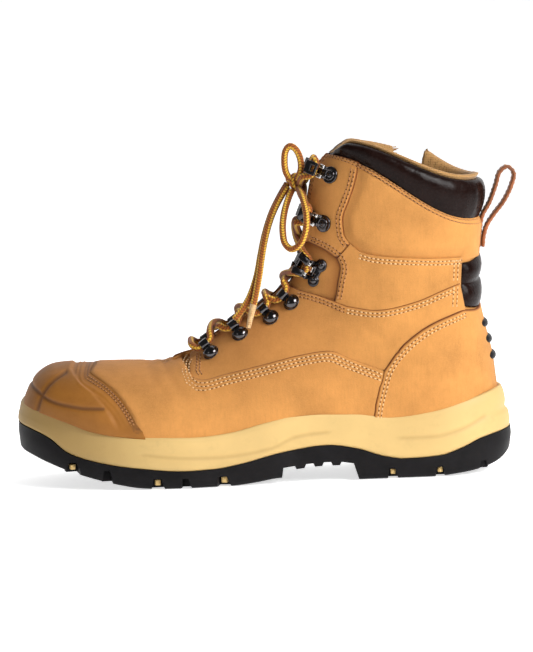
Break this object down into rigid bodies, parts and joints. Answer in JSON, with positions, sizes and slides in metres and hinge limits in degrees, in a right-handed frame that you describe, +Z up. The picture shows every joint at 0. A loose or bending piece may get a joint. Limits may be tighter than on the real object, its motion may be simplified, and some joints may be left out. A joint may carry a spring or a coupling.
{
  "type": "safety boot",
  "caption": "Left lace-up safety boot with a hollow leather upper, bump toe cap, padded collar, moulded midsole and lugged rubber outsole.",
  "frame": {"origin": "bottom centre of the boot's box without the free lace, on the floor plane", "axes": "+Z up from the floor, -X towards the toe, -Y towards the lateral side"},
  "size_m": [0.3182, 0.1094, 0.2096],
  "materials": {
    "black_rubber": "matte",
    "tan_foam": "satin",
    "nubuck": "matte",
    "dark_leather": "satin",
    "lining_mesh": "matte",
    "cap_rubber": "satin",
    "strap_leather": "satin",
    "black_nickel": "polished",
    "lace_cord": "woven",
    "zip_tape": "woven"
  },
  "bodies": {
    "root": {"upper": "nubuck", "midsole": "tan_foam", "outsole": "black_rubber", "insole": "lining_mesh", "tongue": "dark_leather", "toe_cap": "cap_rubber", "vamp": "nubuck", "heel_counter": "nubuck", "quarter_lateral": "nubuck", "shaft_lateral": "nubuck", "quarter_medial": "nubuck", "shaft_medial": "nubuck", "achilles_pad": "dark_leather", "heel_bar_1": "black_rubber", "heel_bar_2": "black_rubber", "heel_bar_3": "black_rubber", "collar_pad": "dark_leather", "collar_lining": "lining_mesh", "pull_loop": "strap_leather", "zip_facing": "nubuck", "zip_chain": "zip_tape", "ring_eyelet_lateral_1": "black_nickel", "ring_eyelet_lateral_2": "black_nickel", "ring_eyelet_lateral_3": "black_nickel", "ring_eyelet_lateral_4": "black_nickel", "lock_hook_lateral": "black_nickel", "speed_hook_lateral_1": "black_nickel", "speed_hook_lateral_2": "black_nickel", "ring_eyelet_medial_1": "black_nickel", "ring_eyelet_medial_2": "black_nickel", "ring_eyelet_medial_3": "black_nickel", "ring_eyelet_medial_4": "black_nickel", "lock_hook_medial": "black_nickel", "speed_hook_medial_1": "black_nickel", "speed_hook_medial_2": "black_nickel", "lace_bar": "lace_cord", "lace_crossing_1": "lace_cord", "lace_crossing_2": "lace_cord", "lace_crossing_3": "lace_cord", "lace_crossing_4": "lace_cord", "lace_crossing_5": "lace_cord", "lace_crossing_6": "lace_cord", "lace_top": "lace_cord", "lace_knot": "lace_cord", "lace_loop_up": "lace_cord", "lace_loop_down": "lace_cord", "lace_end_one": "lace_cord", "lace_end_two": "lace_cord"}
  },
  "joints": []
}
